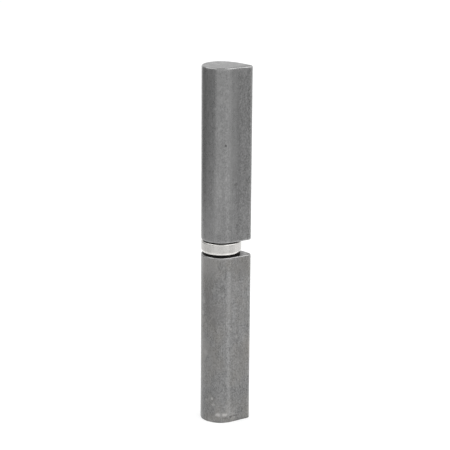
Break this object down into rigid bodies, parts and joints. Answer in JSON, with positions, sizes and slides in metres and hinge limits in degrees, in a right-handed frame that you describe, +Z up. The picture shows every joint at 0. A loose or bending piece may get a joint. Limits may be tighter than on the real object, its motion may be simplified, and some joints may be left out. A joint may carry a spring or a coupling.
{
  "type": "weld-on hinge",
  "caption": "Lift-off weld-on hinge: drop-section steel leaves turn on a fixed pin, with a shielded thrust ball bearing between them.",
  "frame": {"origin": "on the pin axis, at the lower leaf's bottom face", "axes": "+Z up along the pin, towards the upper leaf; +X from the pin axis to the tips of both tails"},
  "size_m": [0.0246, 0.02, 0.18],
  "materials": {
    "drawn_steel": "bare drawn steel, dark grey, faint lengthwise drawing lines, bright worn edges",
    "pin_steel": "bright drawn bar, lightly greased",
    "race_steel": "hardened and ground steel, lightly greased",
    "black_steel": "hardened steel with a dull black finish, oily",
    "shell_sheet": "satin bright sheet steel, drawn and rolled",
    "cage_sheet": "stamped brass sheet",
    "ball_steel": "polished bearing steel"
  },
  "bodies": {
    "lower": {"lower_leaf": "drawn_steel", "hinge_pin": "pin_steel", "lower_race": "black_steel"},
    "bearing_top": {"upper_race": "race_steel", "bearing_shell": "shell_sheet"},
    "ball_ring": {"ball_cage": "cage_sheet", "bearing_ball_01": "ball_steel", "bearing_ball_02": "ball_steel", "bearing_ball_03": "ball_steel", "bearing_ball_04": "ball_steel", "bearing_ball_05": "ball_steel", "bearing_ball_06": "ball_steel", "bearing_ball_07": "ball_steel", "bearing_ball_08": "ball_steel", "bearing_ball_09": "ball_steel", "bearing_ball_10": "ball_steel", "bearing_ball_11": "ball_steel", "bearing_ball_12": "ball_steel", "bearing_ball_13": "ball_steel"},
    "upper": {"upper_leaf": "drawn_steel"}
  },
  "joints": [
    {"name": "swing", "type": "hinge", "parent": "lower", "child": "bearing_top", "pos_m": [0, 0, 0], "axis": [0, 0, 1], "continuous": true},
    {"name": "ball_orbit", "type": "hinge", "parent": "lower", "child": "ball_ring", "pos_m": [0, 0, 0], "axis": [0, 0, 1], "continuous": true},
    {"name": "lift_off", "type": "slide", "parent": "bearing_top", "child": "upper", "axis": [0, 0, 1], "range_m": [0, 0.045]}
  ],
  "couplings": [
    {"joint": "ball_orbit", "follows": "swing", "ratio": 0.5}
  ]
}
